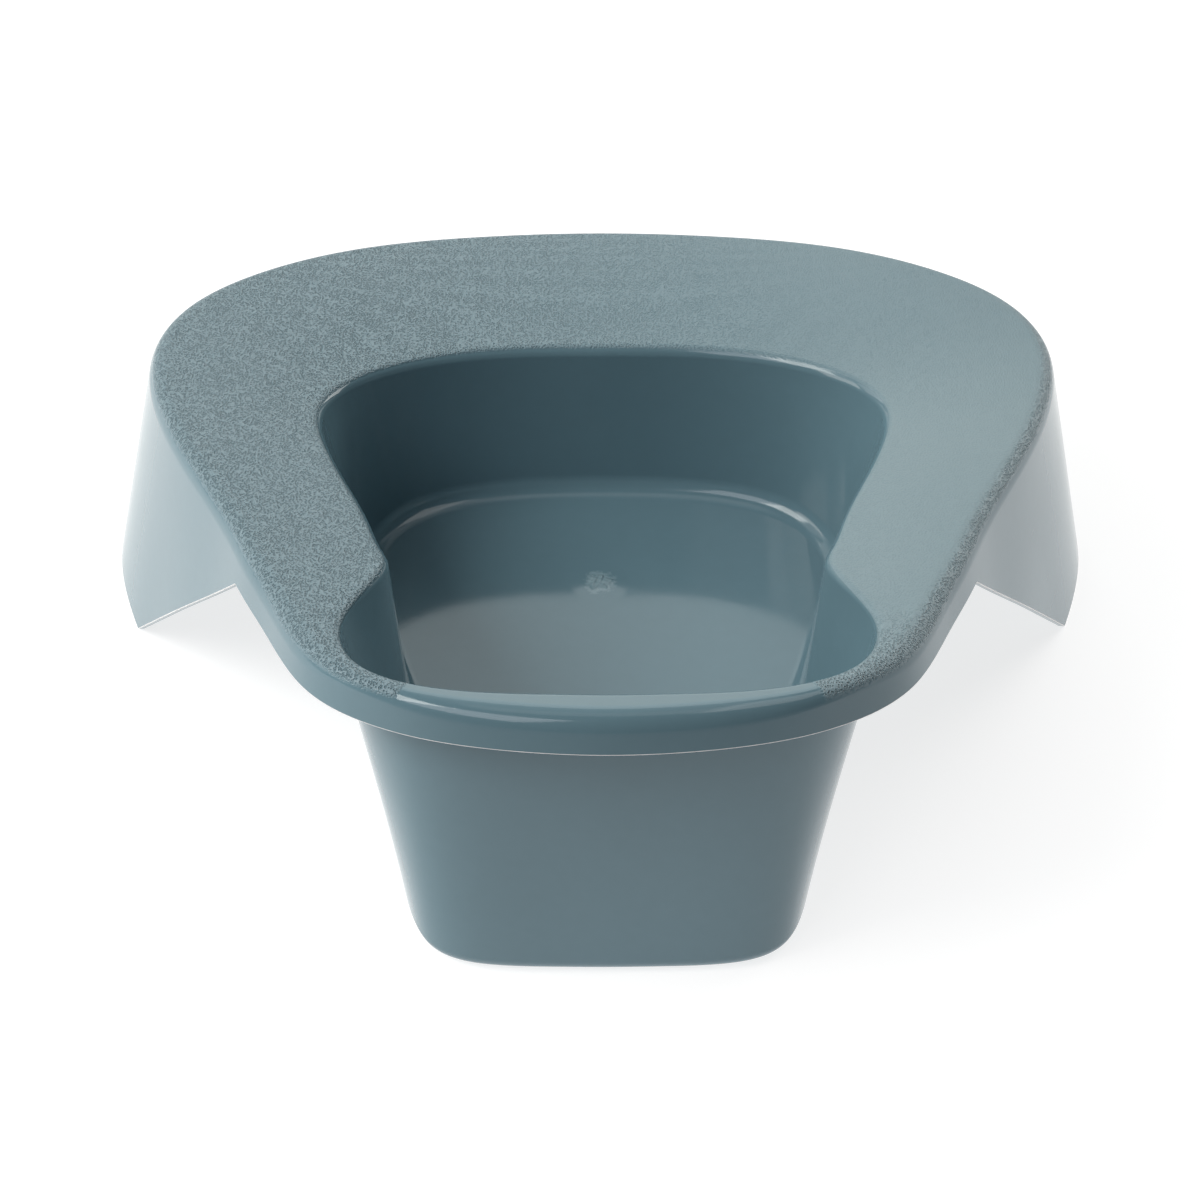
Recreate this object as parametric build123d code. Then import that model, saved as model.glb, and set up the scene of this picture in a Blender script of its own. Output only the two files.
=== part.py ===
from build123d import *
import math
import os

import numpy as np

# Wide bedpan: one thin plastic shell, modelled as named zones that meet face to face.
# Millimetres, +Z up, the narrow front lip towards -Y, left and right along X.
# The origin is at the middle of the footprint, on the ground.

# ---------------------------------------------------------------- driving dimensions
WALL = 2.4            # wall thickness of the shell
FRONT_Y = -202.37     # reference line of the front lip; every "from the front" is from here
AXIS = 145.0          # vertical reference axis of the radial tables, from the front

DECK_FRONT_Z = 136.6  # height of the seat plane at the reference line
DECK_SLOPE = -0.1228  # the seat falls towards the back
DISH_SLOPE = 0.125    # extra inward slope of the seat where it meets the opening
DISH_POWER = 0.8      # how fast that slope dies out towards the outer edge

FLOOR_FRONT_Z = 0.19  # height of the bowl floor plane at the reference line
FLOOR_SLOPE = 0.085   # the floor rises towards the back

R_OUTER_ROLL = 8.5    # roll between the seat and the skirt
R_RIM_ROLL = 4.5      # roll round the opening
R_FOOT_REAR = 8.5     # fillet between floor and wall at the back
R_FOOT_FRONT = 4.0    # and at the front

APRON_FRONT_Z = 121.1 # lower edge of the shallow apron at the reference line
APRON_SLOPE = -0.1353
TIP_Y = 229.8         # where the wings reach the ground, from the front
CUT_SLOPE = 0.953     # rise over run of the slanted front edge of each wing
R_NOTCH = 2.5         # corner between that edge and the apron
R_TIP = 1.5           # rounded lower tip of each wing

GATE_X, GATE_Y = -0.9, 234.0   # moulding gate mark on the bowl floor, from the front
PAD_D, PAD_H = 26.0, 0.35      # low swelling of the floor round the gate
GATE_D, GATE_H = 11.0, 0.45    # the torn scar of the gate itself

# Plan outlines as (angle from the back in degrees: radius from the axis in mm).
OPENING_A = [0, 15, 28, 38, 48, 60, 75, 90, 102, 112, 120, 128, 134, 140, 146, 153, 162, 171, 180]
OPENING_R = [149.9, 153.5, 157.6, 157.2, 148.4, 123.8, 99.6, 88.5, 85.6, 87.0, 99.6, 120.3,
             131.7, 138.4, 139.9, 137.2, 132.0, 128.1, 127.0]
SEAT_A = [0, 12, 24, 34, 43, 52, 61, 70, 80, 92, 104, 116, 126, 134, 140, 146, 153, 162, 171, 180]
SEAT_R = [252.0, 253.8, 258.2, 257.0, 249.2, 229.7, 202.4, 177.1, 156.1, 141.7, 136.3, 136.2,
          140.9, 145.8, 147.9, 148.5, 148.0, 146.1, 144.6, 144.2]
GROUND_R = [261.5, 264.0, 269.6, 271.6, 267.3, 253.5, 224.3, 195.6, 175.4, 161.4, 156.6, 157.0,
            162.3, 168.0, 170.6, 171.3, 170.8, 168.9, 167.5, 167.2]
FLOOR_A = [0, 12, 22, 26, 30, 34, 37, 43, 49, 56, 65, 76, 90, 104, 118, 130, 139, 145, 150, 155,
           161, 170, 180]
FLOOR_R = [147.3, 149.4, 152.8, 153.7, 153.7, 152.1, 149.5, 141.1, 125.8, 106.3, 90.5, 78.7, 71.0,
           71.8, 81.8, 96.8, 111.0, 121.3, 128.4, 130.0, 127.8, 123.8, 122.2]

# Angles that divide the shell into zones.
REAR_A = 45.0         # rear skirt to wings
NOTCH_A = 102.0       # wings to aprons, just past the notch
LIP_A = 132.0         # aprons and seat to front lip
WAIST_A = 108.0       # rear to front part of the bowl wall
STEP_A = 3.0          # angle between two sections; every zone uses the same ones
BELOW = -6.0          # the skirt is drawn down to here and then trimmed


class Outline:
    """Closed smooth outline r(angle), mirrored left to right."""

    def __init__(self, angles, radii):
        a = np.array(angles, float)
        r = np.array(radii, float)
        th = np.radians(np.concatenate([a, 360 - a[-2:0:-1], [360.0]]))
        y = np.concatenate([r, r[-2:0:-1], [r[0]]])
        h = np.diff(th)
        n = len(h)
        m = np.zeros((n, n))
        b = np.zeros(n)
        for i in range(n):
            k = (i - 1) % n
            m[i, k] += h[k] / 6
            m[i, i] += (h[k] + h[i]) / 3
            m[i, (i + 1) % n] += h[i] / 6
            b[i] = (y[i + 1] - y[i]) / h[i] - (y[i] - y[k]) / h[k]
        s = np.linalg.solve(m, b)
        self.th, self.y, self.h, self.m = th, y, h, np.append(s, s[0])

    def __call__(self, t):
        t = t % (2 * math.pi)
        i = int(min(max(np.searchsorted(self.th, t, side="right") - 1, 0), len(self.h) - 1))
        a, b, h = self.th[i + 1] - t, t - self.th[i], self.h[i]
        return float(
            (self.m[i] * a**3 + self.m[i + 1] * b**3) / (6 * h)
            + (self.y[i] / h - self.m[i] * h / 6) * a
            + (self.y[i + 1] / h - self.m[i + 1] * h / 6) * b
        )

    def lean(self, t):
        """Cosine of the angle between the radial section and the outline's own normal."""
        r, d = self(t), (self(t + 1e-4) - self(t - 1e-4)) / 2e-4
        return r / math.hypot(r, d)


opening = Outline(OPENING_A, OPENING_R)
seat = Outline(SEAT_A, SEAT_R)
ground = Outline(SEAT_A, GROUND_R)
floor = Outline(FLOOR_A, FLOOR_R)


def seat_z(y):
    return DECK_FRONT_Z + DECK_SLOPE * y


def floor_z(y):
    return FLOOR_FRONT_Z + FLOOR_SLOPE * y


def ease(x):
    x = min(max(x, 0.0), 1.0)
    return x * x * (3 - 2 * x)


def seat_drop(t, f):
    """Drop of the dished seat below its plane, at fraction f from the opening outwards."""
    ro, rd = opening(t), seat(t)
    slope = DISH_SLOPE * ease((AXIS + ro * math.cos(t) - 25) / 60)
    width = (rd - ro) * 0.5 * (opening.lean(t) + seat.lean(t))
    f0, f1 = 0.06, 0.90
    q = min(max((f1 - f) / (f1 - f0), 0.0), 1.0)
    return slope * width * (
        (f1 - f0) / (DISH_POWER + 1) * q ** (DISH_POWER + 1) + max(f0 - f, 0.0)
    )


def turn_of(p0, v, p1):
    a = (v - p0) / np.hypot(*(v - p0))
    b = (p1 - v) / np.hypot(*(p1 - v))
    return a, b, math.acos(max(-1.0, min(1.0, float(a @ b))))


def roll(p0, v, p1, radius, n):
    """Points and outward normals of the arc that rounds the corner v of p0-v-p1."""
    a, b, turn = turn_of(p0, v, p1)
    side = 1.0 if a[0] * b[1] - a[1] * b[0] > 0 else -1.0
    nrm = np.array([-a[1], a[0]]) * side
    start = v - a * radius * math.tan(turn / 2)
    centre = start + nrm * radius
    pts, out = [], []
    for k in range(n + 1):
        w = turn * k / n
        d = -nrm * math.cos(w) + a * math.sin(w)
        pts.append(centre + d * radius)
        out.append(-d * side)          # always to the left of travel: the seat side
    return np.array(pts), np.array(out)


def section(t):
    """The shell's section in the radial plane at angle t, as (radius, height) points.

    Each stretch has a visible side and an underside, a wall thickness apart.
    Radial distances are scaled by the outline's lean so that the rolls and the
    thickness are true at right angles to the wall.
    """
    ct = math.cos(t)
    rf, ro, rd, rg = floor(t), opening(t), seat(t), ground(t)
    cf, co, cd = floor.lean(t), opening.lean(t), seat.lean(t)
    zf = floor_z(AXIS + rf * ct)
    zo = seat_z(AXIS + ro * ct) - seat_drop(t, 0.0)
    zd = seat_z(AXIS + rd * ct)
    e = 1e-3
    zo1 = seat_z(AXIS + (ro + (rd - ro) * e) * ct) - seat_drop(t, e)
    zd1 = seat_z(AXIS + (rd - (rd - ro) * e) * ct)

    def flat(r, z, r0, c):
        return np.array([(r - r0) * c, z])

    def full(p, r0, c):
        return np.c_[r0 + p[:, 0] / c, p[:, 1]]

    rim = (flat(rf, zf, ro, co), flat(ro, zo, ro, co), flat(rd, zo + (zo1 - zo) / e, ro, co))
    out = (flat(ro, zd + (zd1 - zd) / e, rd, cd), flat(rd, zd, rd, cd), flat(rg, 0.0, rd, cd))
    reach = R_RIM_ROLL * math.tan(turn_of(*rim)[2] / 2) / co
    reach += R_OUTER_ROLL * math.tan(turn_of(*out)[2] / 2) / cd
    q = 0.82 * (rd - ro) / reach
    shrink = (1 + q**-8) ** (-1 / 8)   # where the lip is narrow both rolls get smaller
    foot_r = R_FOOT_FRONT + (R_FOOT_REAR - R_FOOT_FRONT) * ease((AXIS + rf * ct - 60) / 120)

    s = {}
    foot = (flat(rf - 40, zf - 40 * FLOOR_SLOPE * ct, rf, cf), flat(rf, zf, rf, cf),
            flat(ro, zo, rf, cf))
    for name, path, radius, r0, c, n in (
        ("foot", foot, foot_r, rf, cf, 8),
        ("rim", rim, R_RIM_ROLL * shrink, ro, co, 8),
        ("roll", out, R_OUTER_ROLL * shrink, rd, cd, 10),
    ):
        p, m = roll(*path, radius, n)
        s[name] = full(p, r0, c)
        s[name + "_under"] = full(p - m * WALL, r0, c)
    # the foot starts with a plumb edge, where it meets the floor plate
    p0 = s["foot"][0]
    s["foot_under"][0] = (p0[0], p0[1] - WALL * 1.0085)

    n = 12
    fr = np.linspace(s["rim"][-1][0], s["roll"][0][0], n + 1)
    top = [s["rim"][-1]]
    for r in fr[1:-1]:
        top.append((r, seat_z(AXIS + r * ct) - seat_drop(t, (r - ro) / (rd - ro))))
    top.append(s["roll"][0])
    top = np.array(top)
    under = [s["rim_under"][-1]]
    for k in range(1, n):
        c = co + (cd - co) * k / n
        d = (top[k + 1] - top[k - 1]) * (c, 1.0)
        d /= np.hypot(*d)
        under.append(top[k] - np.array([-d[1] / c, d[0]]) * WALL)
    under.append(s["roll_under"][0])
    s["seat"], s["seat_under"] = top, np.array(under)

    g = np.array([rg, 0.0]) - s["roll"][-1]
    for name in ("", "_under"):
        a = s["roll" + name][-1]
        s["hem" + name] = a + g * (BELOW - a[1]) / g[1]
    return s


def place(p, t):
    return Vector(p[0] * math.sin(t), FRONT_Y + AXIS + p[0] * math.cos(t), float(p[1]))


def curve(points, t):
    return Edge.make_spline([place(p, t) for p in points],
                            parameters=[k / (len(points) - 1) for k in range(len(points))])


def line(a, b, t):
    return Edge.make_line(place(a, t), place(b, t))


def bowl_wire(t):
    s = section(t)
    return Wire([
        curve(s["foot"], t), line(s["foot"][-1], s["rim"][0], t), curve(s["rim"], t),
        line(s["rim"][-1], s["rim_under"][-1], t),
        curve(s["rim_under"][::-1], t), line(s["rim_under"][0], s["foot_under"][-1], t),
        curve(s["foot_under"][::-1], t), line(s["foot_under"][0], s["foot"][0], t),
    ])


def seat_wire(t):
    s = section(t)
    return Wire([
        curve(s["seat"], t), line(s["seat"][-1], s["seat_under"][-1], t),
        curve(s["seat_under"][::-1], t), line(s["seat_under"][0], s["seat"][0], t),
    ])


def skirt_wire(t):
    s = section(t)
    return Wire([
        curve(s["roll"], t), line(s["roll"][-1], s["hem"], t),
        line(s["hem"], s["hem_under"], t), line(s["hem_under"], s["roll_under"][-1], t),
        curve(s["roll_under"][::-1], t), line(s["roll_under"][0], s["roll"][0], t),
    ])


def lip_wire(t):
    s = section(t)
    return Wire([
        curve(s["seat"], t), curve(s["roll"], t), line(s["roll"][-1], s["hem"], t),
        line(s["hem"], s["hem_under"], t), line(s["hem_under"], s["roll_under"][-1], t),
        curve(s["roll_under"][::-1], t), curve(s["seat_under"][::-1], t),
        line(s["seat_under"][0], s["seat"][0], t),
    ])


def zone(wire, a0, a1):
    n = round((a1 - a0) / STEP_A)
    return Solid.make_loft([wire(math.radians(a0 + (a1 - a0) * k / n)) for k in range(n + 1)])


# The body that trims every skirt: below the apron's edge, the slanted wing edge and the ground.
def apron_z(y):
    return APRON_FRONT_Z + APRON_SLOPE * y


notch_y = (CUT_SLOPE * TIP_Y - APRON_FRONT_Z) / (APRON_SLOPE + CUT_SLOPE)
corner = [(-60.0, apron_z(-60.0)), (notch_y, apron_z(notch_y)), (TIP_Y, 0.0), (480.0, 0.0),
          (480.0, -80.0), (-60.0, -80.0)]
trim_face = Plane.YZ * make_face(Polyline([(y + FRONT_Y, z) for y, z in corner], close=True))
trim_face = trim_face.face()


def near(face, y, z):
    return face.vertices().sort_by_distance(Vector(0, y + FRONT_Y, z))[0]


trim_face = trim_face.fillet_2d(R_NOTCH, [near(trim_face, notch_y, apron_z(notch_y))])
trim_face = trim_face.fillet_2d(R_TIP, [near(trim_face, TIP_Y, 0.0)])
trim = extrude(trim_face, amount=260, both=True)


def trimmed(body):
    cut = body - trim
    return max(cut.solids(), key=lambda s: s.volume)


# Bowl floor: a plate of even thickness inside the foot of the wall, with the gate mark.
n_floor = 120
rim_points = []
for k in range(n_floor):
    t = 2 * math.pi * k / n_floor
    rim_points.append(place(section(t)["foot"][0], t))
floor_edge = Edge.make_spline(rim_points, periodic=True)
plate = Solid.extrude(Face(Wire([floor_edge])), Vector(0, 0, -WALL * 1.0085))
gate_z = floor_z(GATE_Y)
on_floor = Pos(GATE_X, GATE_Y + FRONT_Y, gate_z) * Rot(math.degrees(math.atan(FLOOR_SLOPE)), 0, 0)
low = (Align.CENTER, Align.CENTER, Align.MIN)
pad = on_floor * Cone(PAD_D / 2, PAD_D / 2 - 3.5, PAD_H, align=low)
gate = on_floor * Cone(GATE_D / 2, GATE_D / 2 - 1.2, PAD_H + GATE_H, align=low)
bowl_floor = plate + pad + gate

parts = {
    "bowl_floor": bowl_floor,
    "bowl_rear_wall": zone(bowl_wire, -WAIST_A, WAIST_A),
    "bowl_front_wall": zone(bowl_wire, WAIST_A, 360 - WAIST_A),
    "seat_deck": zone(seat_wire, -LIP_A, LIP_A),
    "front_lip": trimmed(zone(lip_wire, LIP_A, 360 - LIP_A)),
    "rear_skirt": trimmed(zone(skirt_wire, -REAR_A, REAR_A)),
    "right_wing": trimmed(zone(skirt_wire, REAR_A, NOTCH_A)),
    "left_wing": trimmed(zone(skirt_wire, -NOTCH_A, -REAR_A)),
    "right_apron": trimmed(zone(skirt_wire, NOTCH_A, LIP_A)),
    "left_apron": trimmed(zone(skirt_wire, -LIP_A, -NOTCH_A)),
}

os.makedirs("parts", exist_ok=True)
for name, body in parts.items():
    export_step(body, f"parts/{name}.step")
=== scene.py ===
import math

import bpy
import numpy as np
from mathutils import Matrix


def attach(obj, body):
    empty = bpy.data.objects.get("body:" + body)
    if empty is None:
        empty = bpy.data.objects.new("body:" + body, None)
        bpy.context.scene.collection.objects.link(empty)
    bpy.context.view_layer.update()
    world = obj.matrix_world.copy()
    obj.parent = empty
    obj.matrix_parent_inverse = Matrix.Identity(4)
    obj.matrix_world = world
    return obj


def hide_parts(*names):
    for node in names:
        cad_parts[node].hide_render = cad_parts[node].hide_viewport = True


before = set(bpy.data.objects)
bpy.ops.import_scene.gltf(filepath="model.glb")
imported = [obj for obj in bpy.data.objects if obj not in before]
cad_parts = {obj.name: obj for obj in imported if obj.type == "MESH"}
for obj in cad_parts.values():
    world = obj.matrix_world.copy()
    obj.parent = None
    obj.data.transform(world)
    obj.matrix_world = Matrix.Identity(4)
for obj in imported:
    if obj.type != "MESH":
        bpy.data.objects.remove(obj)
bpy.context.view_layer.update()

# Wide bedpan: one thin injection-moulded shell, drawn as its named zones at full detail.
# The numbers are the ones that the CAD model was made with, in millimetres.

WALL = 2.4
FRONT_Y = -202.37
AXIS = 145.0
DECK_FRONT_Z, DECK_SLOPE = 136.6, -0.1228
DISH_SLOPE, DISH_POWER = 0.125, 0.8
FLOOR_FRONT_Z, FLOOR_SLOPE = 0.19, 0.085
R_OUTER_ROLL, R_RIM_ROLL = 8.5, 4.5
R_FOOT_REAR, R_FOOT_FRONT = 8.5, 4.0
APRON_FRONT_Z, APRON_SLOPE = 121.1, -0.1353
TIP_Y, CUT_SLOPE, R_NOTCH, R_TIP = 229.8, 0.953, 2.5, 1.5
GATE_X, GATE_Y, PAD_D, PAD_H, GATE_D, GATE_H = -0.9, 234.0, 26.0, 0.35, 15.0, 0.75

OPENING_A = [0, 15, 28, 38, 48, 60, 75, 90, 102, 112, 120, 128, 134, 140, 146, 153, 162, 171, 180]
OPENING_R = [149.9, 153.5, 157.6, 157.2, 148.4, 123.8, 99.6, 88.5, 85.6, 87.0, 99.6, 120.3,
             131.7, 138.4, 139.9, 137.2, 132.0, 128.1, 127.0]
SEAT_A = [0, 12, 24, 34, 43, 52, 61, 70, 80, 92, 104, 116, 126, 134, 140, 146, 153, 162, 171, 180]
SEAT_R = [252.0, 253.8, 258.2, 257.0, 249.2, 229.7, 202.4, 177.1, 156.1, 141.7, 136.3, 136.2,
          140.9, 145.8, 147.9, 148.5, 148.0, 146.1, 144.6, 144.2]
GROUND_R = [261.5, 264.0, 269.6, 271.6, 267.3, 253.5, 224.3, 195.6, 175.4, 161.4, 156.6, 157.0,
            162.3, 168.0, 170.6, 171.3, 170.8, 168.9, 167.5, 167.2]
FLOOR_A = [0, 12, 22, 26, 30, 34, 37, 43, 49, 56, 65, 76, 90, 104, 118, 130, 139, 145, 150, 155,
           161, 170, 180]
FLOOR_R = [147.3, 149.4, 152.8, 153.7, 153.7, 152.1, 149.5, 141.1, 125.8, 106.3, 90.5, 78.7, 71.0,
           71.8, 81.8, 96.8, 111.0, 121.3, 128.4, 130.0, 127.8, 123.8, 122.2]


REAR_A, NOTCH_A, LIP_A, WAIST_A = 45.0, 102.0, 132.0, 108.0


# ------------------------------------------------------------------ outlines
class Outline:
    """Closed smooth outline r(angle), mirrored left to right, for arrays of angles."""

    def __init__(self, angles, radii):
        a, r = np.array(angles, float), np.array(radii, float)
        th = np.radians(np.concatenate([a, 360 - a[-2:0:-1], [360.0]]))
        y = np.concatenate([r, r[-2:0:-1], [r[0]]])
        h = np.diff(th)
        n = len(h)
        m, b = np.zeros((n, n)), np.zeros(n)
        for i in range(n):
            k = (i - 1) % n
            m[i, k] += h[k] / 6
            m[i, i] += (h[k] + h[i]) / 3
            m[i, (i + 1) % n] += h[i] / 6
            b[i] = (y[i + 1] - y[i]) / h[i] - (y[i] - y[k]) / h[k]
        s = np.linalg.solve(m, b)
        self.th, self.y, self.h, self.m = th, y, h, np.append(s, s[0])

    def __call__(self, t):
        t = np.asarray(t, float) % (2 * math.pi)
        i = np.clip(np.searchsorted(self.th, t, side="right") - 1, 0, len(self.h) - 1)
        a, b, h = self.th[i + 1] - t, t - self.th[i], self.h[i]
        return ((self.m[i] * a**3 + self.m[i + 1] * b**3) / (6 * h)
                + (self.y[i] / h - self.m[i] * h / 6) * a
                + (self.y[i + 1] / h - self.m[i + 1] * h / 6) * b)

    def lean(self, t):
        r, d = self(t), (self(t + 1e-4) - self(t - 1e-4)) / 2e-4
        return r / np.hypot(r, d)


opening = Outline(OPENING_A, OPENING_R)
seat = Outline(SEAT_A, SEAT_R)
ground = Outline(SEAT_A, GROUND_R)
floor = Outline(FLOOR_A, FLOOR_R)


def seat_z(y):
    return DECK_FRONT_Z + DECK_SLOPE * y


def floor_z(y):
    return FLOOR_FRONT_Z + FLOOR_SLOPE * y


def ease(x):
    x = np.clip(x, 0.0, 1.0)
    return x * x * (3 - 2 * x)


def seat_drop(t, f):
    ro, rd = opening(t), seat(t)
    slope = DISH_SLOPE * ease((AXIS + ro * np.cos(t) - 25) / 60)
    width = (rd - ro) * 0.5 * (opening.lean(t) + seat.lean(t))
    f0, f1 = 0.06, 0.90
    q = np.clip((f1 - f) / (f1 - f0), 0.0, 1.0)
    return slope * width * ((f1 - f0) / (DISH_POWER + 1) * q ** (DISH_POWER + 1)
                            + np.maximum(f0 - f, 0.0))


# ------------------------------------------------------------------ stations round the pan
def stations():
    """Section angles: every half degree, and finer where the lower edge turns sharply."""
    tip = math.degrees(math.acos(0.0))
    for _ in range(60):
        t = math.radians(tip)
        tip = math.degrees(math.acos((TIP_Y - AXIS) / float(ground(t))))
    notch_y = (CUT_SLOPE * TIP_Y - APRON_FRONT_Z) / (APRON_SLOPE + CUT_SLOPE)
    a = set(np.round(np.arange(0, 180.01, 0.5), 4))
    for mid, span in ((tip, 2.0), (100.0, 3.0)):
        a |= set(np.round(np.arange(mid - span, mid + span, 0.1), 4))
    a |= {REAR_A, NOTCH_A, LIP_A, WAIST_A}
    a = sorted(x for x in a if 0 <= x <= 180)
    keep = [a[0]]
    for x in a[1:]:
        if x - keep[-1] > 0.07 or x in (REAR_A, NOTCH_A, LIP_A, WAIST_A, 180.0):
            if x in (REAR_A, NOTCH_A, LIP_A, WAIST_A, 180.0) and x - keep[-1] <= 0.07:
                keep.pop()
            keep.append(x)
    full = keep + [360 - x for x in reversed(keep[1:-1])]
    return np.array(full)


DEG = stations()
T = np.radians(DEG)
NT = len(T)
CT, ST = np.cos(T), np.sin(T)


# ------------------------------------------------------------------ the section at every station
def trim_height(y):
    """Height of the shell's lower edge at y from the front: apron, notch, slanted cut, tip, ground."""
    apron = APRON_FRONT_Z + APRON_SLOPE * y
    cut = CUT_SLOPE * (TIP_Y - y)
    z = np.minimum(np.maximum(cut, 0.0), apron)

    def rounded(y0, z0, m1, m2, radius):
        # arc that joins line m1 (before y0) to line m2 (after), tangent to both
        a1, a2 = math.atan(m1), math.atan(m2)
        turn = a2 - a1
        cut_len = radius * math.tan(abs(turn) / 2)
        p1 = (y0 - cut_len * math.cos(a1), z0 - cut_len * math.sin(a1))
        p2 = (y0 + cut_len * math.cos(a2), z0 + cut_len * math.sin(a2))
        side = 1.0 if turn > 0 else -1.0
        cy, cz = p1[0] - side * math.sin(a1) * radius, p1[1] + side * math.cos(a1) * radius
        return p1[0], p2[0], cy, cz, side, radius

    notch_y = (CUT_SLOPE * TIP_Y - APRON_FRONT_Z) / (APRON_SLOPE + CUT_SLOPE)
    for y0, z0, m1, m2, radius in (
        (notch_y, APRON_FRONT_Z + APRON_SLOPE * notch_y, APRON_SLOPE, -CUT_SLOPE, R_NOTCH),
        (TIP_Y, 0.0, -CUT_SLOPE, 0.0, R_TIP),
    ):
        lo, hi, cy, cz, side, r = rounded(y0, z0, m1, m2, radius)
        arc = cz - side * np.sqrt(np.maximum(r * r - (y - cy) ** 2, 0.0))
        z = np.where((y > lo) & (y < hi), arc, z)
    return z


def unit(v):
    return v / np.maximum(np.linalg.norm(v, axis=-1, keepdims=True), 1e-12)


def sections():
    """Every stretch of the section as (stations, points, 2) arrays of points and of tangents."""
    rf, ro, rd, rg = floor(T), opening(T), seat(T), ground(T)
    cf, co, cd = floor.lean(T), opening.lean(T), seat.lean(T)
    zf = floor_z(AXIS + rf * CT)
    zo = seat_z(AXIS + ro * CT) - seat_drop(T, 0.0)
    zd = seat_z(AXIS + rd * CT)
    e = 1e-3
    zo1 = seat_z(AXIS + (ro + (rd - ro) * e) * CT) - seat_drop(T, e)
    zd1 = seat_z(AXIS + (rd - (rd - ro) * e) * CT)

    def flat(r, z, r0, c):
        return np.stack([(r - r0) * c, z + 0 * r], -1)

    def turn_of(p0, v, p1):
        a, b = unit(v - p0), unit(p1 - v)
        return a, b, np.arccos(np.clip((a * b).sum(-1), -1, 1))

    rim = (flat(rf, zf, ro, co), flat(ro, zo, ro, co), flat(rd, zo + (zo1 - zo) / e, ro, co))
    out = (flat(ro, zd + (zd1 - zd) / e, rd, cd), flat(rd, zd, rd, cd), flat(rg, 0.0, rd, cd))
    reach = R_RIM_ROLL * np.tan(turn_of(*rim)[2] / 2) / co
    reach = reach + R_OUTER_ROLL * np.tan(turn_of(*out)[2] / 2) / cd
    q = 0.82 * (rd - ro) / reach
    shrink = (1 + q**-8) ** (-1 / 8)
    foot_r = R_FOOT_FRONT + (R_FOOT_REAR - R_FOOT_FRONT) * ease((AXIS + rf * CT - 60) / 120)
    foot = (flat(rf - 40, zf - 40 * FLOOR_SLOPE * CT, rf, cf), flat(rf, zf, rf, cf),
            flat(ro, zo, rf, cf))

    s = {}
    for name, path, radius, r0, c, n in (
        ("foot", foot, foot_r, rf, cf, 12),
        ("rim", rim, R_RIM_ROLL * shrink, ro, co, 12),
        ("roll", out, R_OUTER_ROLL * shrink, rd, cd, 16),
    ):
        a, b, turn = turn_of(*path)
        side = np.where(a[:, 0] * b[:, 1] - a[:, 1] * b[:, 0] > 0, 1.0, -1.0)
        nrm = np.stack([-a[:, 1], a[:, 0]], -1) * side[:, None]
        start = path[1] - a * (radius * np.tan(turn / 2))[:, None]
        centre = start + nrm * radius[:, None] if np.ndim(radius) else start + nrm * radius
        w = turn[:, None] * np.linspace(0, 1, n + 1)[None]
        d = -nrm[:, None] * np.cos(w)[..., None] + a[:, None] * np.sin(w)[..., None]
        rad = radius[:, None, None]
        p = centre[:, None] + d * rad
        m = -d * side[:, None, None]
        tan = np.stack([m[..., 1], -m[..., 0]], -1)       # along travel, seat side on its left
        for key, pts in (("", p), ("_under", p - m * WALL)):
            s[name + key] = np.stack([r0[:, None] + pts[..., 0] / c[:, None], pts[..., 1]], -1)
        s[name + "_t"] = np.stack([tan[..., 0] / c[:, None], tan[..., 1]], -1)
    p0 = s["foot"][:, 0]
    s["foot_under"][:, 0] = np.stack([p0[:, 0], p0[:, 1] - WALL * 1.0085], -1)

    # the seat: rows close together beside both rolls, even between
    k = 30
    u = np.linspace(0, 1, k + 1)
    u = 0.72 * u + 0.28 * (0.5 - 0.5 * np.cos(math.pi * u))
    r0, r1 = s["rim"][:, -1, 0], s["roll"][:, 0, 0]
    r = r0[:, None] + (r1 - r0)[:, None] * u[None]

    def height(rr):
        f = (rr - ro[:, None]) / (rd - ro)[:, None]
        drop = np.stack([seat_drop(T, f[:, j]) for j in range(rr.shape[1])], 1)
        return seat_z(AXIS + rr * CT[:, None]) - drop

    z = height(r)
    z[:, 0], z[:, -1] = s["rim"][:, -1, 1], s["roll"][:, 0, 1]
    top = np.stack([r, z], -1)
    h = 0.02
    tan = np.stack([np.ones_like(r), (height(r + h) - height(r - h)) / (2 * h)], -1)
    c = (co[:, None] + (cd - co)[:, None] * u[None])
    nn = unit(np.stack([-tan[..., 1], 1.0 * c], -1))      # in true distance across the outline
    under = top - np.stack([nn[..., 0] / c, nn[..., 1]], -1) * WALL
    under[:, 0], under[:, -1] = s["rim_under"][:, -1], s["roll_under"][:, 0]
    s["seat"], s["seat_under"], s["seat_t"] = top, under, tan
    s["seat_u"] = u

    # the skirt: a straight flare from the roll down to the trimmed lower edge
    g = np.stack([rg, np.zeros(NT)], -1) - s["roll"][:, -1]

    def down(p):
        lo, hi = np.zeros(NT), np.full(NT, 1.2)
        for _ in range(50):
            m = (lo + hi) / 2
            q = p + g * m[:, None]
            above = q[:, 1] > trim_height(AXIS + q[:, 0] * CT)
            lo, hi = np.where(above, m, lo), np.where(above, hi, m)
        return p + g * ((lo + hi) / 2)[:, None]

    a0, b0 = s["roll"][:, -1], s["roll_under"][:, -1]
    a1, b1 = down(a0), down(b0)
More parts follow.
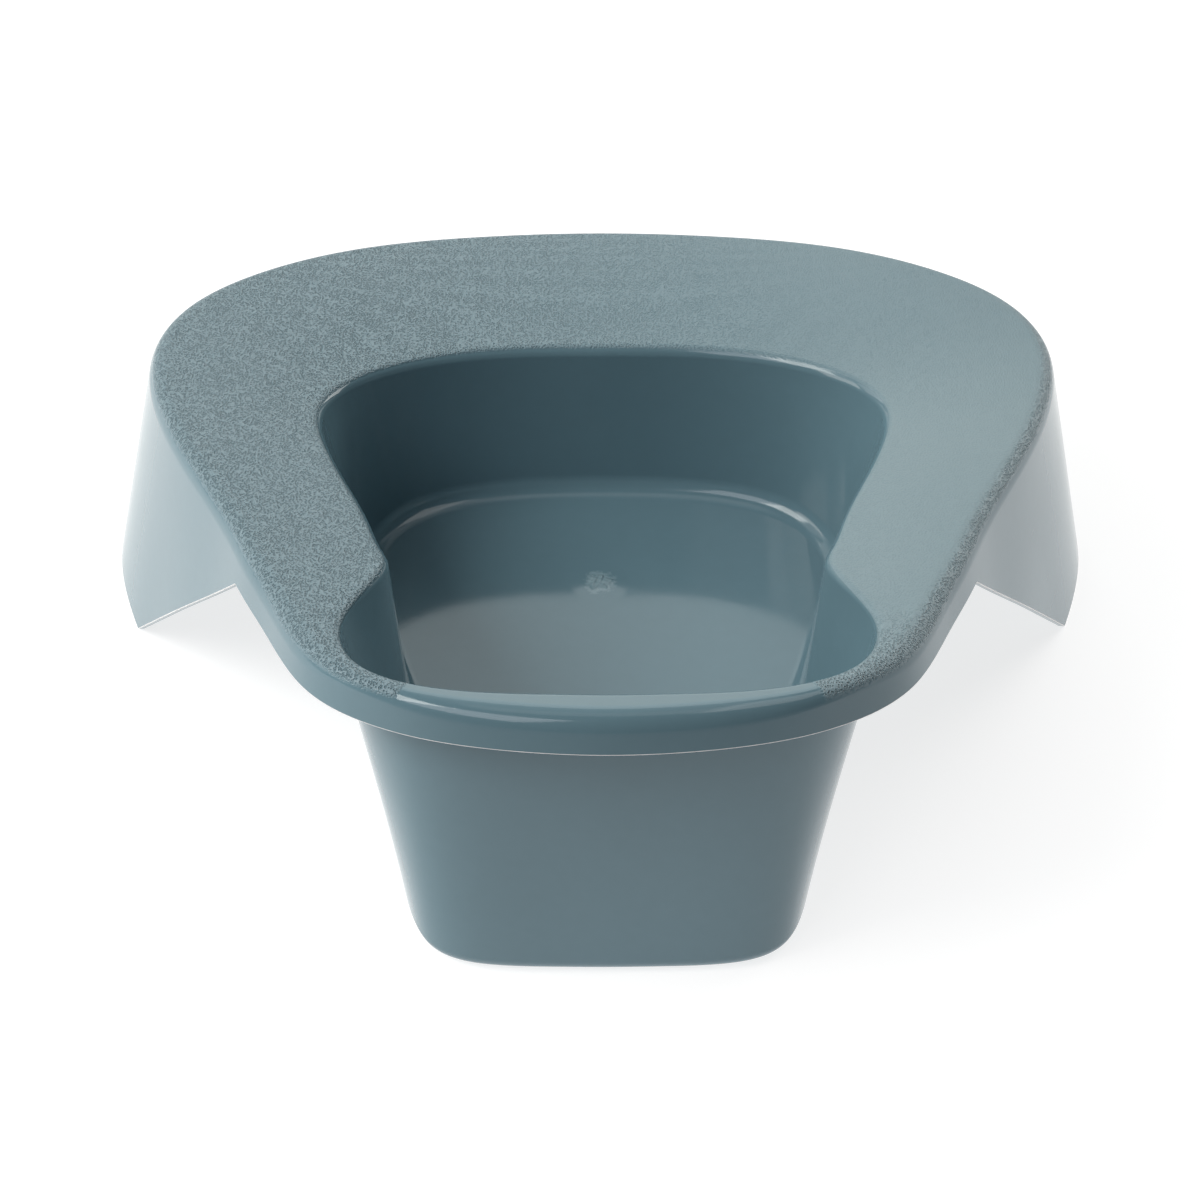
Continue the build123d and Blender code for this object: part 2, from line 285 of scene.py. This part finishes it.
    # rounded lower edge: a small radius at the outside corner, a smaller one at the inside
    d = unit(g)
    w = b1 - a1
    thick = np.linalg.norm(w, axis=-1)
    w = w / thick[:, None]
    ra, rb = np.minimum(0.55, thick * 0.36), np.minimum(0.5, thick * 0.3)
    edge = []
    for j in range(6):
        v = j / 5 * math.pi / 2
        edge.append(a1 - d * (ra * (1 - math.sin(v)))[:, None] + w * (ra * (1 - math.cos(v)))[:, None])
    for j in range(5):
        v = j / 4 * math.pi / 2
        edge.append(b1 - d * (rb * (1 - math.cos(v)))[:, None] - w * (rb * (1 - math.sin(v)))[:, None])
    edge = np.stack(edge, 1)
    n = 22
    f = (np.linspace(0, 1, n + 1) ** 1.0)[None, :, None]
    s["skirt"] = a0[:, None] + (edge[:, 0] - a0)[:, None] * f
    s["skirt_under"] = b0[:, None] + (edge[:, -1] - b0)[:, None] * f
    s["edge"] = edge
    return s


S = sections()


def loop(parts):
    """Joins stretches into one strip without repeating the shared points."""
    out = [parts[0]]
    for p in parts[1:]:
        out.append(p[:, 1:])
    return np.concatenate(out, 1)


n_wall = 16
fw = np.linspace(0, 1, n_wall + 1)[None, :, None]
S["wall"] = S["foot"][:, -1:] + (S["rim"][:, :1] - S["foot"][:, -1:]) * fw
S["wall_under"] = S["foot_under"][:, -1:] + (S["rim_under"][:, :1] - S["foot_under"][:, -1:]) * fw

top_parts = ["foot", "wall", "rim", "seat", "roll", "skirt"]
TOP = loop([S[n] for n in top_parts])
LOW = loop([S[n + "_under"] for n in top_parts])
EDGE = S["edge"]
col, index = 0, {}
for n in top_parts:
    index[n] = (col, col + S[n].shape[1] - 1)
    col = index[n][1]
NP = TOP.shape[1]
LOOP = np.concatenate([TOP, EDGE[:, 1:-1], LOW[:, ::-1]], 1)   # round the whole section
N_EDGE = EDGE.shape[1] - 2


def to_xyz(p):
    return np.stack([p[..., 0] * ST[:, None], FRONT_Y + AXIS + p[..., 0] * CT[:, None],
                     p[..., 1]], -1) * 0.001


XYZ = to_xyz(LOOP)


def loop_normals():
    """Outward normals of the whole shell, smooth across every zone border."""
    tan = np.zeros_like(LOOP)
    d = np.diff(LOOP, axis=1)
    h = np.linalg.norm(d, axis=-1, keepdims=True)
    unit_d = d / np.maximum(h, 1e-9)
    h1, h2 = h[:, :-1], h[:, 1:]
    tan[:, 1:-1] = (unit_d[:, :-1] * h2 + unit_d[:, 1:] * h1) / (h1 + h2)
    tan[:, 0], tan[:, -1] = unit_d[:, 0], unit_d[:, -1]
    for n in ("foot", "rim", "roll", "seat"):              # exact where the shape is known
        i, j = index[n]
        tan[:, i:j + 1] = S[n + "_t"]
        if n != "seat":
            m = LOOP.shape[1] - 1
            tan[:, m - j:m - i + 1] = -S[n + "_t"][:, ::-1]
    i, j = index["seat"]
    m = LOOP.shape[1] - 1
    tan[:, m - j:m - i + 1] = -S["seat_t"][:, ::-1]
    for n in ("wall", "skirt"):
        i, j = index[n]
        for lo, hi, sgn in ((i, j, 1), (m - j, m - i, -1)):
            t0 = unit_d[:, lo:lo + 1]
            tan[:, lo:hi + 1] = t0
    t3 = np.stack([tan[..., 0] * ST[:, None], tan[..., 0] * CT[:, None], tan[..., 1]], -1)
    r3 = np.roll(XYZ, -1, 0) - np.roll(XYZ, 1, 0)
    nrm = np.cross(r3, t3)
    return -unit(nrm)


NRM = loop_normals()
# the travel runs outwards over the seat, so up there the normal has to point up
if NRM[0, (index["seat"][0] + index["seat"][1]) // 2, 2] < 0:
    NRM = -NRM


# ------------------------------------------------------------------ surface attributes
def smooth(a, b, x):
    return ease((x - a) / (b - a))


def wrap(deg):
    return np.abs((deg + 180.0) % 360.0 - 180.0)


ABS_DEG = wrap(DEG)


def arc_length(name):
    """Distance along a stretch from its start, in true millimetres across the outline."""
    i, j = index[name]
    p = LOOP[:, i:j + 1]
    d = np.diff(p, axis=1) * np.stack([opening.lean(T), np.ones(NT)], -1)[:, None]
    return np.concatenate([np.zeros((NT, 1)), np.cumsum(np.linalg.norm(d, axis=-1), 1)], 1)


def grain_mask():
    """1 where the mould was textured: the seat and most of the roll on each side of it, and at
    the front corners nearly all of the inner roll. The texture stops on a radial line each
    side of the front lip."""
    g = np.zeros(LOOP.shape[:2])
    corner = (smooth(112.0, 126.0, ABS_DEG))[:, None]      # how far the corner has taken over
    i, j = index["seat"]
    g[:, i:j + 1] = 1.0
    i, j = index["rim"]
    s_in = arc_length("rim")
    start = s_in[:, -1:] * (0.50 - 0.30 * corner)
    g[:, i:j + 1] = smooth(0.0, 1.0, (s_in - start) / 1.4)
    i, j = index["roll"]
    s_out = arc_length("roll")
    far = s_out[:, -1:] * (0.42 + 0.10 * (np.sin(T)[:, None] > 0))   # a little further on the right
    g[:, i:j + 1] = 1 - smooth(0.0, 1.0, (s_out - far) / 3.0)
    g *= (1 - smooth(149.3, 150.1, ABS_DEG))[:, None]
    g[:, NP:] = 0.0
    return g


GRAIN = grain_mask()


def painted_edge_highlight_mask():
    """1 on the outside corner of the lower edge, where a pale highlight is painted."""
    w = np.zeros(LOOP.shape[:2])
    i = index["skirt"][1]
    w[:, i + 1:i + 5] = 1.0
    return w


PAINTED_EDGE_HIGHLIGHT = painted_edge_highlight_mask()


# ------------------------------------------------------------------ materials
def plastic(name, tint, gloss, grain_gloss):
    """Injection-moulded slate-blue polypropylene. The mesh attribute "grain" says where the
    mould was textured: there the surface has a stipple, with painted shade and highlight, and is less
    glossy. The attribute
    "worn" says where a pale highlight is painted along the lower edge."""
    mat = bpy.data.materials.new(name)
    mat.use_nodes = True
    nt = mat.node_tree
    nt.nodes.clear()
    N, L = nt.nodes.new, nt.links.new
    out = N("ShaderNodeOutputMaterial")
    sh = N("ShaderNodeBsdfPrincipled")
    L(sh.outputs["BSDF"], out.inputs["Surface"])
    sh.inputs["IOR"].default_value = 1.49
    sh.inputs["Specular IOR Level"].default_value = 0.5
    coords = N("ShaderNodeTexCoord")
    pos = coords.outputs["Object"]

    def attribute(name):
        n = N("ShaderNodeAttribute")
        n.attribute_name = name
        return n.outputs["Fac"]

    mask, painted_edge_highlight = attribute("grain"), attribute("painted_edge_highlight")

    def noise(scale, detail=2.0, rough=0.5, vector=pos, distortion=0.0):
        n = N("ShaderNodeTexNoise")
        n.inputs["Scale"].default_value = scale
        n.inputs["Detail"].default_value = detail
        n.inputs["Roughness"].default_value = rough
        n.inputs["Distortion"].default_value = distortion
        L(vector, n.inputs["Vector"])
        return n.outputs["Fac"]

    def math_node(op, a, b):
        n = N("ShaderNodeMath")
        n.operation = op
        for k, v in enumerate((a, b)):
            if hasattr(v, "links"):
                L(v, n.inputs[k])
            else:
                n.inputs[k].default_value = v
        return n.outputs[0]

    def remap(v, a, b, c, d, soft=False):
        n = N("ShaderNodeMapRange")
        if soft:
            n.interpolation_type = "SMOOTHSTEP"
        n.inputs["From Min"].default_value, n.inputs["From Max"].default_value = a, b
        n.inputs["To Min"].default_value, n.inputs["To Max"].default_value = c, d
        L(v, n.inputs["Value"])
        return n.outputs["Result"]

    def mixed(a, b, factor):
        n = N("ShaderNodeMix")
        n.data_type = "RGBA"
        L(factor, n.inputs["Factor"])
        L(a, n.inputs["A"])
        n.inputs["B"].default_value = b
        return n.outputs["Result"]

    # the stipple: flat-topped worms about a millimetre apart
    cells = N("ShaderNodeTexVoronoi")
    cells.inputs["Scale"].default_value = WORM_SCALE
    cells.inputs["Randomness"].default_value = 0.85
    L(pos, cells.inputs["Vector"])
    worms = remap(cells.outputs["Distance"], 0.20, 0.62, 0.0, 1.0, soft=True)
    grit = noise(2100.0, 1.0, 0.5)
    stipple = math_node("ADD", math_node("MULTIPLY", worms, 0.8), math_node("MULTIPLY", grit, 0.4))

    # colour: very even pigment, with faint clouding, finer mottle and dust; painted light: shade and
    # highlight on the stipple, a paler right of the seat, a glint round the gate, a highlight along the
    # lower edge
    cloud = noise(9.0, 3.0, 0.55)
    mottle = noise(170.0, 2.0, 0.5)
    ramp = N("ShaderNodeValToRGB")
    e = ramp.color_ramp.elements
    e[0].position, e[1].position = 0.30, 0.72
    e[0].color = tuple(c * 0.965 for c in tint) + (1.0,)
    e[1].color = tuple(min(1.0, c * 1.035) for c in tint) + (1.0,)
    L(math_node("ADD", math_node("MULTIPLY", cloud, 0.7), math_node("MULTIPLY", mottle, 0.3)),
      ramp.inputs["Fac"])
    # the right of the seat is painted paler, a painted pool of light, and its stipple is set
    #     # fainter there; the stipple and its painted shade are crisp on the left, on the outer roll and
    #     at the front corners
    place = N("ShaderNodeSeparateXYZ")
    L(pos, place.inputs["Vector"])
    facing = N("ShaderNodeSeparateXYZ")
    L(coords.outputs["Normal"], facing.inputs["Vector"])
    stipple_and_painted_shade_by_side = remap(place.outputs["X"], -0.12, 0.11, 1.0, 0.16, soft=True)
    stipple_and_painted_shade_by_side = math_node("MAXIMUM", stipple_and_painted_shade_by_side, remap(facing.outputs["X"], 0.12, 0.40, 0.0, 0.75))
    stipple_and_painted_shade_by_side = math_node("MAXIMUM", stipple_and_painted_shade_by_side, remap(place.outputs["Y"], -0.160, -0.120, 0.85, 0.0))
    # painted pool of light: the plastic on the right of the seat painted paler
    painted_light_right = math_node("MULTIPLY", remap(place.outputs["X"], -0.10, 0.10, 0.0, 1.0, soft=True), mask)
    painted_light_right = math_node("MULTIPLY", painted_light_right, remap(place.outputs["Y"], 0.00, 0.13, 1.0, 0.10, soft=True))
    colour = mixed(ramp.outputs["Color"], tuple(c * k for c, k in zip(tint, (1.42, 1.25, 1.19))) + (1.0,),
                   painted_light_right)
    # painted shade in the stipple's pits and a painted highlight on its crowns, in place of the light and
    # shade of the relief; the same mask sets the relief's depth
    stipple_and_painted_shade_mask = math_node("MULTIPLY", mask, stipple_and_painted_shade_by_side)
    painted_pit_shade = math_node("MULTIPLY", math_node("SUBTRACT", 1.0, worms), stipple_and_painted_shade_mask)
    colour = mixed(colour, tuple(c * k for c, k in zip(tint, (0.16, 0.32, 0.37))) + (1.0,),
                   math_node("MULTIPLY", painted_pit_shade, PAINTED_STIPPLE_SHADE))
    painted_crown_highlight = math_node("MULTIPLY", worms, stipple_and_painted_shade_mask)
    colour = mixed(colour, tuple(c * k for c, k in zip(tint, (2.05, 1.62, 1.53))) + (1.0,),
                   math_node("MULTIPLY", painted_crown_highlight, PAINTED_STIPPLE_SHADE))
    specks = N("ShaderNodeTexVoronoi")
    specks.inputs["Scale"].default_value = 42.0
    specks.inputs["Randomness"].default_value = 1.0
    L(pos, specks.inputs["Vector"])
    dot = remap(specks.outputs["Distance"], 0.010, 0.024, 1.0, 0.0)
    rare = remap(noise(31.0, 0.0), 0.60, 0.66, 0.0, 1.0)
    colour = mixed(colour, (0.55, 0.58, 0.58, 1.0),
                   math_node("MULTIPLY", math_node("MULTIPLY", dot, rare), 0.35))
    # painted glint: a paler patch round the gate's mark, in place of light caught by its ragged facets
    away = N("ShaderNodeVectorMath")
    away.operation = "DISTANCE"
    L(pos, away.inputs[0])
    away.inputs[1].default_value = (GATE_X * 0.001, (FRONT_Y + GATE_Y) * 0.001,
                                    floor_z(GATE_Y) * 0.001)
    torn = math_node("ADD", away.outputs["Value"], remap(noise(330.0, 3.0, 0.6), 0.3, 0.7,
                                                        -0.0022, 0.0022))
    colour = mixed(colour, (0.36, 0.47, 0.50, 1.0), remap(torn, 0.0040, 0.0074, 0.34, 0.0, soft=True))
    # painted highlight: the outside corner of the lower edge painted near white, where light catches it
    edge_highlight_amount = math_node("MULTIPLY", painted_edge_highlight, remap(noise(60.0, 3.0, 0.6), 0.30, 0.60, 0.70, 0.95))
    colour = mixed(colour, (0.93, 0.905, 0.90, 1.0), edge_highlight_amount)
    L(colour, sh.inputs["Base Color"])

    # roughness: glossy as moulded, duller where stippled, with handling haze
    haze = remap(noise(14.0, 4.0, 0.6), 0.35, 0.70, -0.012, 0.030)
    fine = remap(noise(620.0, 2.0), 0.3, 0.7, -0.010, 0.010)
    base = N("ShaderNodeMapRange")
    base.inputs["To Min"].default_value, base.inputs["To Max"].default_value = gloss, grain_gloss
    L(mask, base.inputs["Value"])
    dull = math_node("ADD", math_node("ADD", base.outputs["Result"], haze), fine)
    L(math_node("ADD", dull, math_node("MULTIPLY", painted_edge_highlight, 0.25)), sh.inputs["Roughness"])

    # relief: the stipple, a slight waviness of the smooth moulding, hairline scratches
    def bump(height, distance, strength, under=None, invert=False):
        n = N("ShaderNodeBump")
        n.inputs["Strength"].default_value = strength
        n.inputs["Distance"].default_value = distance
        n.invert = invert
        L(height, n.inputs["Height"])
        if under is not None:
            L(under, n.inputs["Normal"])
        return n.outputs["Normal"]

    relief = bump(math_node("MULTIPLY", stipple, stipple_and_painted_shade_mask), WORM_DEPTH, 1.0)
    relief = bump(noise(70.0, 2.0, 0.45), 0.00003, 1.0, relief)
    drag = N("ShaderNodeMapping")
    drag.inputs["Scale"].default_value = (330.0, 330.0, 7.0)
    L(pos, drag.inputs["Vector"])
    relief = bump(noise(1.0, 2.0, 0.5, drag.outputs["Vector"]), 0.000010, 1.0, relief)
    stretch = N("ShaderNodeMapping")
    stretch.inputs["Rotation"].default_value = (0.2, 0.1, 0.5)
    stretch.inputs["Scale"].default_value = (260.0, 9.0, 260.0)
    L(pos, stretch.inputs["Vector"])
    line = remap(noise(1.0, 0.0, 0.5, stretch.outputs["Vector"]), 0.765, 0.80, 0.0, 1.0)
    relief = bump(line, 0.00002, 0.6, relief, True)
    L(relief, sh.inputs["Normal"])
    return mat


TINT = (0.122, 0.204, 0.242)
# the third number sets how strongly the stipple's painted shade and highlight are laid on
WORM_SCALE, WORM_DEPTH, PAINTED_STIPPLE_SHADE = 1020.0, 0.00060, 0.45
smooth_shell = plastic("smooth_shell_plastic", TINT, 0.095, 0.42)
grained_seat = plastic("grained_seat_plastic", TINT, 0.095, 0.42)


# ------------------------------------------------------------------ pieces
def make_piece(name, verts, faces, corner_normals, grain, painted_edge_highlight, node, material):
    me = bpy.data.meshes.new(name)
    me.from_pydata([tuple(v) for v in verts], [], faces)
    me.update()
    me.shade_smooth()
    for key, value in (("grain", grain), ("painted_edge_highlight", painted_edge_highlight)):
        a = me.attributes.new(key, "FLOAT", "POINT")
        a.data.foreach_set("value", np.asarray(value, np.float32))
    me.materials.append(material)
    me.normals_split_custom_set([tuple(n) for n in corner_normals])
    ob = bpy.data.objects.new(name, me)
    bpy.context.scene.collection.objects.link(ob)
    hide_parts(node)
    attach(ob, "root")
    return ob


def flat_normal(p):
    w = np.cross(p[1] - p[0], p[-1] - p[0]) + np.cross(p[2] - p[0], p[-1] - p[0]) * 1e-3
    return w / max(np.linalg.norm(w), 1e-15)


def zone_rows(a0, a1):
    """The stations from a0 to a1 degrees, in order, both ends included."""
    at = {round(float(d), 4): k for k, d in enumerate(DEG)}
    i, j = at[round(a0 % 360, 4)], at[round(a1 % 360, 4)]
    rows = [i]
    while rows[-1] != j:
        rows.append((rows[-1] + 1) % NT)
    return rows


def strip_piece(name, node, a0, a1, c0, c1, material):
    """A closed piece of the shell from station a0 to a1, between two columns of the section.
    c1 None takes it round the lower edge and back."""
    rows, m = zone_rows(a0, a1), LOOP.shape[1] - 1
    if c1 is None:
        cols, step = list(range(c0, m - c0 + 1)), None
    else:
        cols = list(range(c0, c1 + 1)) + list(range(m - c1, m - c0 + 1))
        step = c1 - c0
    nr, nc = len(rows), len(cols)
    v = XYZ[np.ix_(rows, cols)].reshape(-1, 3)
    n = NRM[np.ix_(rows, cols)].reshape(-1, 3)
    g = GRAIN[np.ix_(rows, cols)].reshape(-1)
    painted_edge_highlight = PAINTED_EDGE_HIGHLIGHT[np.ix_(rows, cols)].reshape(-1)
    faces, corners = [], []
    for i in range(nr - 1):
        for k in range(nc):
            k2 = (k + 1) % nc
            q = (i * nc + k, (i + 1) * nc + k, (i + 1) * nc + k2, i * nc + k2)
            faces.append(q)
            if k2 == 0 or k == step:        # faces where this zone meets the next one
                corners.extend([flat_normal(v[list(q)])] * 4)
            else:
                corners.extend(n[list(q)])
    for row, last in ((0, False), (nr - 1, True)):
        lo, hi = row * nc, row * nc + nc - 1
        while hi - lo > 1:
            q = (lo, lo + 1, hi) if hi - lo == 2 else (lo, lo + 1, hi - 1, hi)
            q = q[::-1] if last else q
            faces.append(q)
            corners.extend([flat_normal(v[list(q)])] * len(q))
            lo, hi = lo + 1, hi - 1
    return make_piece(name, v, faces, corners, g, painted_edge_highlight, node, material)


def gate_height(x, y):
    """Height of the gate's mark above the floor plane, in mm, at x, y from its middle: a low
    swelling, and on it the ragged, torn scar of the gate."""
    r, w = np.hypot(x, y), np.arctan2(y, x)
    u = np.clip(r / (PAD_D / 2), 0, 1)
    pad = PAD_H * (1 - u * u) ** 2
    ragged = 1 + 0.17 * np.sin(5 * w + 0.7) + 0.10 * np.sin(3 * w + 2.0) + 0.07 * np.sin(11 * w)
    u = np.hypot(x, y * 1.25) / (GATE_D / 2 * 0.76 * ragged)
    torn = (0.62 + 0.20 * np.sin(1.7 * x + 0.9 * y + 0.4) * np.sin(1.3 * y - 0.6 * x + 1.1)
            + 0.16 * np.sin(2.9 * x - 1.1 * y + 2.0))
    return pad + GATE_H * (1 - smooth(0.45, 1.0, u)) * torn


def floor_piece(name, node, material):
    """The bowl's floor plate, as rings round the moulding gate's mark."""
    rim_top, rim_low = XYZ[:, 0] * 1000, XYZ[:, -1] * 1000
    up = unit(np.array([0.0, -FLOOR_SLOPE, 1.0]))
    ax = np.array([1.0, 0.0, 0.0])
    ay = np.cross(up, ax)
    mid = np.array([GATE_X, FRONT_Y + GATE_Y, floor_z(GATE_Y)])
    out = rim_top - mid
    far = np.hypot(out @ ax, out @ ay)
    way = np.stack([out @ ax, out @ ay], -1) / far[:, None]
    radii = np.concatenate([np.arange(0.20, 6.6, 0.20), np.arange(6.9, 13.6, 0.5)])
    rings = [np.full(NT, r) for r in radii]
    rings += [radii[-1] + (far - radii[-1]) * f for f in np.linspace(0, 1, 15)[1:]]
    drop = np.array([0.0, 0.0, WALL * 1.0085])
    h = 0.02

    def slope(x, y):
        return ((gate_height(x + h, y) - gate_height(x - h, y)) / (2 * h),
                (gate_height(x, y + h) - gate_height(x, y - h)) / (2 * h))

    top, low, nrm = [mid[None] + up * float(gate_height(0.0, 0.0))], [mid[None] - drop], [up[None]]
    for r in rings:
        x, y = way[:, 0] * r, way[:, 1] * r
        flat = mid + x[:, None] * ax + y[:, None] * ay
        gx, gy = slope(x, y)
        top.append(flat + up * gate_height(x, y)[:, None])
        nrm.append(unit(up - gx[:, None] * ax - gy[:, None] * ay))
        low.append(flat - drop)
    top[-1], low[-1] = rim_top, rim_low
    top, low, nrm = (np.concatenate(q) for q in (top, low, nrm))
    v = np.concatenate([top, low]) * 0.001
    half, nr = len(top), len(rings)
    faces, corners = [], []

    def add(q, normals):
        faces.append(q)
        corners.extend(normals)

    for k in range(NT):
        k2 = (k + 1) % NT
        q = (0, 1 + k2, 1 + k)
        add(q, nrm[list(q)])
        add((half, half + 1 + k, half + 1 + k2), [-up] * 3)
        for j in range(nr - 1):
            a, b = 1 + j * NT, 1 + (j + 1) * NT
            q = (a + k, a + k2, b + k2, b + k)
            add(q, nrm[list(q)])
            add(tuple(half + c for c in q[::-1]), [-up] * 4)
        a = 1 + (nr - 1) * NT
        q = (a + k, a + k2, half + a + k2, half + a + k)
        add(q, [flat_normal(v[list(q)])] * 4)
    none = np.zeros(len(v))
    return make_piece(name, v, faces, corners, none, none, node, material)


rim_end, seat_end, foot_start = index["rim"][1], index["seat"][1], 0
floor_piece("bowl_floor_shell", "bowl_floor", smooth_shell)
for name, a0, a1, c0, c1 in (
    ("bowl_rear_wall", -WAIST_A, WAIST_A, 0, rim_end),
    ("bowl_front_wall", WAIST_A, 360 - WAIST_A, 0, rim_end),
    ("seat_deck", -LIP_A, LIP_A, rim_end, seat_end),
    ("front_lip", LIP_A, 360 - LIP_A, rim_end, None),
    ("rear_skirt", -REAR_A, REAR_A, seat_end, None),
    ("right_wing", REAR_A, NOTCH_A, seat_end, None),
    ("left_wing", -NOTCH_A, -REAR_A, seat_end, None),
    ("right_apron", NOTCH_A, LIP_A, seat_end, None),
    ("left_apron", -LIP_A, -NOTCH_A, seat_end, None),
):
    grained = name in ("seat_deck",)
    strip_piece(name + "_shell", name, a0, a1, c0, c1,
                grained_seat if grained else smooth_shell)


# ------------------------------------------------------------------ floor, light and camera
def plain(name, colour, rough, glow=0.0):
    mat = bpy.data.materials.new(name)
    mat.use_nodes = True
    sh = mat.node_tree.nodes["Principled BSDF"]
    sh.inputs["Base Color"].default_value = (*colour, 1.0)
    sh.inputs["Roughness"].default_value = rough
    sh.inputs["Specular IOR Level"].default_value = 0.0
    sh.inputs["Emission Color"].default_value = (1.0, 1.0, 1.0, 1.0)
    sh.inputs["Emission Strength"].default_value = glow
    return mat


def pale_floor(name, colour, glow):
    """Pale self-lit paper; it falls off to grey well in front of the pan, out of the frame."""
    mat = plain(name, (colour,) * 3, 0.9, glow)
    nt = mat.node_tree
    sh = nt.nodes["Principled BSDF"]
    at = nt.nodes.new("ShaderNodeSeparateXYZ")
    nt.links.new(nt.nodes.new("ShaderNodeTexCoord").outputs["Object"], at.inputs[0])
    fade = nt.nodes.new("ShaderNodeMapRange")
    fade.interpolation_type = "SMOOTHSTEP"
    fade.inputs["From Min"].default_value, fade.inputs["From Max"].default_value = -0.60, -0.30
    fade.inputs["To Min"].default_value, fade.inputs["To Max"].default_value = 0.32, 1.0
    nt.links.new(at.outputs["Y"], fade.inputs["Value"])
    paper = nt.nodes.new("ShaderNodeTexNoise")
    paper.inputs["Scale"].default_value = 5.0
    even = nt.nodes.new("ShaderNodeMapRange")
    even.inputs["To Min"].default_value, even.inputs["To Max"].default_value = colour * 0.99, colour * 1.01
    nt.links.new(paper.outputs["Fac"], even.inputs["Value"])
    for k, socket in ((even.outputs["Result"], "Base Color"), (glow, "Emission Strength")):
        m = nt.nodes.new("ShaderNodeMath")
        m.operation = "MULTIPLY"
        nt.links.new(fade.outputs["Result"], m.inputs[0])
        if socket == "Base Color":
            nt.links.new(k, m.inputs[1])
        else:
            m.inputs[1].default_value = k
            m.name = "glow"
        nt.links.new(m.outputs[0], sh.inputs[socket])
    return mat


me = bpy.data.meshes.new("studio_floor")
R = 6.0
me.from_pydata([(-R, -R, 0.0), (R, -R, 0.0), (R, R, 0.0), (-R, R, 0.0)], [], [(0, 1, 2, 3)])
studio_floor = bpy.data.objects.new("studio_floor", me)
bpy.context.scene.collection.objects.link(studio_floor)
me.materials.append(pale_floor("white_sweep", 0.36, 0.785))


def softbox(name, direction, distance, size, radiance, tint=(1.0, 1.0, 1.0), target=(0.0, 0.0, 0.06)):
    """A rectangular soft light at an azimuth and elevation from the pan; radiance 1 is paper white.
    Azimuth 0 is the front (-Y), 90 the right (+X), 180 the back."""
    az, el = (math.radians(x) for x in direction)
    d = np.array([math.sin(az) * math.cos(el), -math.cos(az) * math.cos(el), math.sin(el)])
    la = bpy.data.lights.new(name, "AREA")
    la.shape = "RECTANGLE"
    la.size, la.size_y = size
    la.color = tint
    la.energy = radiance * math.pi * size[0] * size[1]
    ob = bpy.data.objects.new(name, la)
    at = np.array(target) + d * distance
    z = d
    x = np.cross([0.0, 0.0, 1.0], z)
    x = x / np.linalg.norm(x) if np.linalg.norm(x) > 1e-6 else np.array([1.0, 0.0, 0.0])
    y = np.cross(z, x)
    ob.matrix_world = Matrix([[x[0], y[0], z[0], at[0]], [x[1], y[1], z[1], at[1]],
                              [x[2], y[2], z[2], at[2]], [0, 0, 0, 1]])
    bpy.context.scene.collection.objects.link(ob)
    return ob


LIGHTS = [      # azimuth, elevation, metres away, size, radiance, tint
    ("key_front_left", (-72, 46), 2.2, (1.2, 1.0), 6.30, (1.010, 1.018, 0.972)),
    ("key_left_low", (-90, 20), 2.2, (1.5, 1.0), 3.20, (1.035, 1.008, 0.957)),
    ("key_left", (-96, 46), 2.2, (1.2, 1.0), 1.00, (1.008, 1.009, 0.984)),
    ("front", (-36, 46), 2.2, (1.2, 1.0), 2.75, (0.978, 0.986, 1.036)),
    ("back_left", (-135, 20), 2.2, (1.5, 1.0), 1.49, (1.025, 1.002, 0.972)),
    ("back_low", (180, 20), 2.2, (1.5, 1.0), 1.54, (1.038, 1.017, 0.945)),
    ("back_high", (180, 46), 2.2, (1.2, 1.0), 1.85, (0.958, 1.023, 1.018)),
    ("back_top", (180, 68), 2.2, (1.2, 0.8), 0.42, (1.0, 1.0, 1.0)),
    ("back_right_low", (135, 20), 2.2, (1.5, 1.0), 3.70, (1.025, 1.008, 0.967)),
    ("back_right", (135, 46), 2.2, (1.2, 1.0), 0.45, (1.0, 1.0, 1.0)),
    ("top_right", (90, 68), 2.2, (1.2, 0.8), 1.54, (1.007, 1.003, 0.989)),
    ("overhead", (0, 89), 2.2, (1.1, 0.8), 0.62, (1.0, 1.0, 1.0)),
]
for name, direction, distance, size, radiance, tint in LIGHTS:
    softbox(name, direction, distance, size, radiance, tint)

world = bpy.data.worlds.new("studio")
bpy.context.scene.world = world
world.use_nodes = True
world.node_tree.nodes["Background"].inputs["Color"].default_value = (1.0, 1.0, 1.0, 1.0)
world.node_tree.nodes["Background"].inputs["Strength"].default_value = 0.0
bpy.context.scene.view_settings.view_transform = "Standard"

psi, down_by, roll_by = math.radians(0.752), math.radians(37.0), math.radians(0.298)
fwd = np.array([math.sin(psi) * math.cos(down_by), math.cos(psi) * math.cos(down_by), -math.sin(down_by)])
rt = np.array([math.cos(psi), -math.sin(psi), 0.0])
up = np.cross(rt, fwd)
cx = rt * math.cos(roll_by) + up * math.sin(roll_by)
cy = -rt * math.sin(roll_by) + up * math.cos(roll_by)
cam = bpy.data.cameras.new("camera")
cam.lens, cam.sensor_width, cam.sensor_height, cam.sensor_fit = 120.0, 36.0, 36.0, "HORIZONTAL"
cam.clip_start, cam.clip_end = 0.05, 50.0
cam_ob = bpy.data.objects.new("camera", cam)
cam_ob.matrix_world = Matrix([[cx[0], cy[0], -fwd[0], -0.017932],
                              [cx[1], cy[1], -fwd[1], (-1069.6 + FRONT_Y) * 0.001],
                              [cx[2], cy[2], -fwd[2], 0.9935], [0, 0, 0, 1]])
bpy.context.scene.collection.objects.link(cam_ob)
bpy.context.scene.camera = cam_ob
